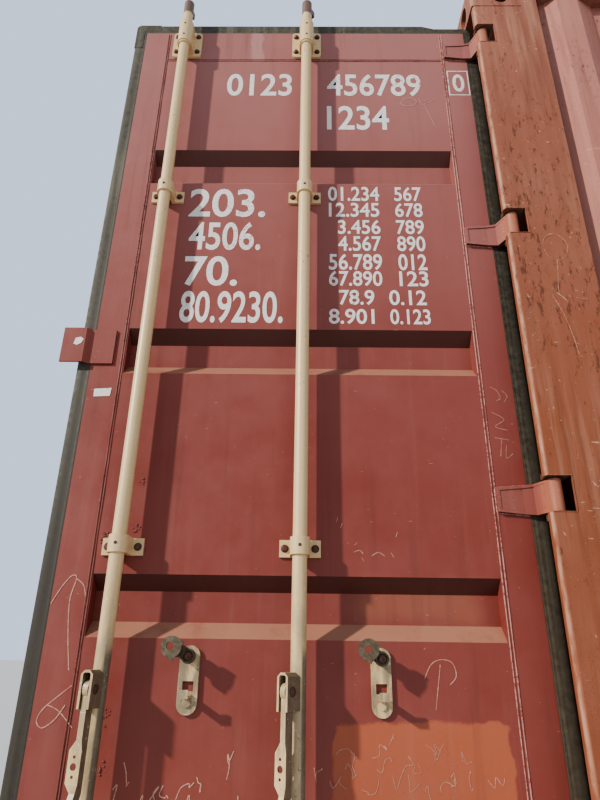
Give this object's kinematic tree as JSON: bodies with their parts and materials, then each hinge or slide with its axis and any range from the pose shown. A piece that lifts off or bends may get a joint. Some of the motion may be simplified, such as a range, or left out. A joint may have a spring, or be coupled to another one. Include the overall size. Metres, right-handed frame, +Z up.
{
  "type": "shipping container",
  "caption": "Steel freight container with corrugated walls, a hinged leaf standing open, turning lock rods, swinging handles and seal catches.",
  "frame": {"origin": "on the ground, in the middle of the four bottom lock slots", "axes": "+X along the container, away from the door end, +Y across it, +Z up"},
  "size_m": [13.414, 2.4806, 2.896],
  "materials": {
    "leaf_paint": "faded brick-red paint",
    "post_paint": "rusty orange-brown paint",
    "wall_paint": "faded red paint",
    "rod_paint": "worn cream paint over zinc",
    "catch_steel": "rusty",
    "seal_rubber": "weathered",
    "floor_wood": "worn plywood"
  },
  "bodies": {
    "container": {"bottom_fittings": "post_paint", "top_fittings": "post_paint", "rear_posts": "post_paint", "post_channels": "post_paint", "hinge_pins": "catch_steel", "door_header": "wall_paint", "door_sill": "wall_paint", "cam_keepers": "wall_paint", "front_posts": "post_paint", "front_top_rail": "wall_paint", "front_sill": "wall_paint", "front_wall": "wall_paint", "top_side_rails": "wall_paint", "bottom_side_rails": "wall_paint", "right_side_wall": "wall_paint", "left_side_wall": "wall_paint", "roof_sheet": "wall_paint", "cross_members": "wall_paint", "gooseneck_tunnel": "wall_paint", "floor_boards": "floor_wood", "ventilators": "wall_paint", "left_leaf_frame": "leaf_paint", "left_leaf_panel": "leaf_paint", "left_seal": "seal_rubber", "left_hinge_blades": "leaf_paint", "left_rod_bearings": "rod_paint", "left_rod_guides": "rod_paint", "left_retainers": "rod_paint", "left_rods": "rod_paint", "left_handles": "rod_paint", "left_catches": "catch_steel"},
    "right_leaf": {"right_leaf_frame": "leaf_paint", "right_leaf_panel": "leaf_paint", "right_seal": "seal_rubber", "right_hinge_blades": "leaf_paint", "overlap_plate": "leaf_paint", "right_rod_bearings": "rod_paint", "right_rod_guides": "rod_paint", "right_retainers": "rod_paint"},
    "right_rod_1": {"right_rod_1": "rod_paint"},
    "right_rod_2": {"right_rod_2": "rod_paint"},
    "right_handle_1": {"right_handle_1": "rod_paint"},
    "right_handle_2": {"right_handle_2": "rod_paint"},
    "right_catch_1": {"right_catch_1": "catch_steel"},
    "right_catch_2": {"right_catch_2": "catch_steel"}
  },
  "joints": [
    {"name": "right_leaf_swing", "type": "hinge", "parent": "container", "child": "right_leaf", "pos_m": [-6.065, -1.192, 1.4625], "axis": [0, 0, 1], "range_deg": [-90, 170]},
    {"name": "right_rod_1_turn", "type": "hinge", "parent": "right_leaf", "child": "right_rod_1", "pos_m": [-7.085, -1.186, 1.4625], "axis": [0, 0, -1], "range_deg": [-102, 78]},
    {"name": "right_rod_2_turn", "type": "hinge", "parent": "right_leaf", "child": "right_rod_2", "pos_m": [-6.666, -1.186, 1.4625], "axis": [0, 0, -1], "range_deg": [-125, 55]},
    {"name": "right_handle_1_lift", "type": "hinge", "parent": "right_rod_1", "child": "right_handle_1", "pos_m": [-7.0929, -1.22317, 0.636], "axis": [0.9781, -0.2079, 0], "range_deg": [-90, 0]},
    {"name": "right_handle_2_lift", "type": "hinge", "parent": "right_rod_2", "child": "right_handle_2", "pos_m": [-6.6878, -1.21713, 0.636], "axis": [0.8192, -0.5736, 0], "range_deg": [-90, 0]},
    {"name": "right_catch_1_turn", "type": "hinge", "parent": "right_leaf", "child": "right_catch_1", "pos_m": [-6.905, -1.169, 0.7], "axis": [0, 1, 0], "range_deg": [-120, 0]},
    {"name": "right_catch_2_turn", "type": "hinge", "parent": "right_leaf", "child": "right_catch_2", "pos_m": [-6.486, -1.169, 0.7], "axis": [0, 1, 0], "range_deg": [-120, 0]}
  ]
}
